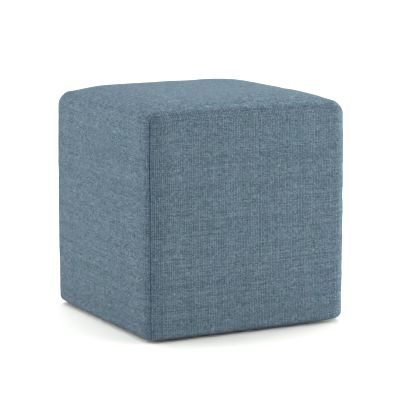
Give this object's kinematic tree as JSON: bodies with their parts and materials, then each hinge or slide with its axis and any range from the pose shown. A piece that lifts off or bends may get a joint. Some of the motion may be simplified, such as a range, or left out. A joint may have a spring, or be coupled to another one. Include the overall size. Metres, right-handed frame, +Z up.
{
  "type": "cube pouf stool",
  "caption": "Upholstered cube pouf stool with rounded edges, a softly crowned top, sewn corner seams and low glides, for sitting on or resting the feet.",
  "frame": {"origin": "on the floor, at the centre of the square in which the four glides stand", "axes": "+Z up along the stool's middle, -Y towards the front side panel, -X towards the left side panel"},
  "size_m": [0.3978, 0.3978, 0.4086],
  "materials": {
    "upholstery": "heathered blue-grey basket weave, matt",
    "base": "black nonwoven cloth",
    "glide": "black moulded"
  },
  "bodies": {
    "root": {"padded_block": "upholstery", "side_panel_front": "upholstery", "side_panel_right": "upholstery", "side_panel_back": "upholstery", "side_panel_left": "upholstery", "base_cloth": "base", "glide_front_left": "glide", "glide_front_right": "glide", "glide_back_left": "glide", "glide_back_right": "glide"}
  },
  "joints": []
}
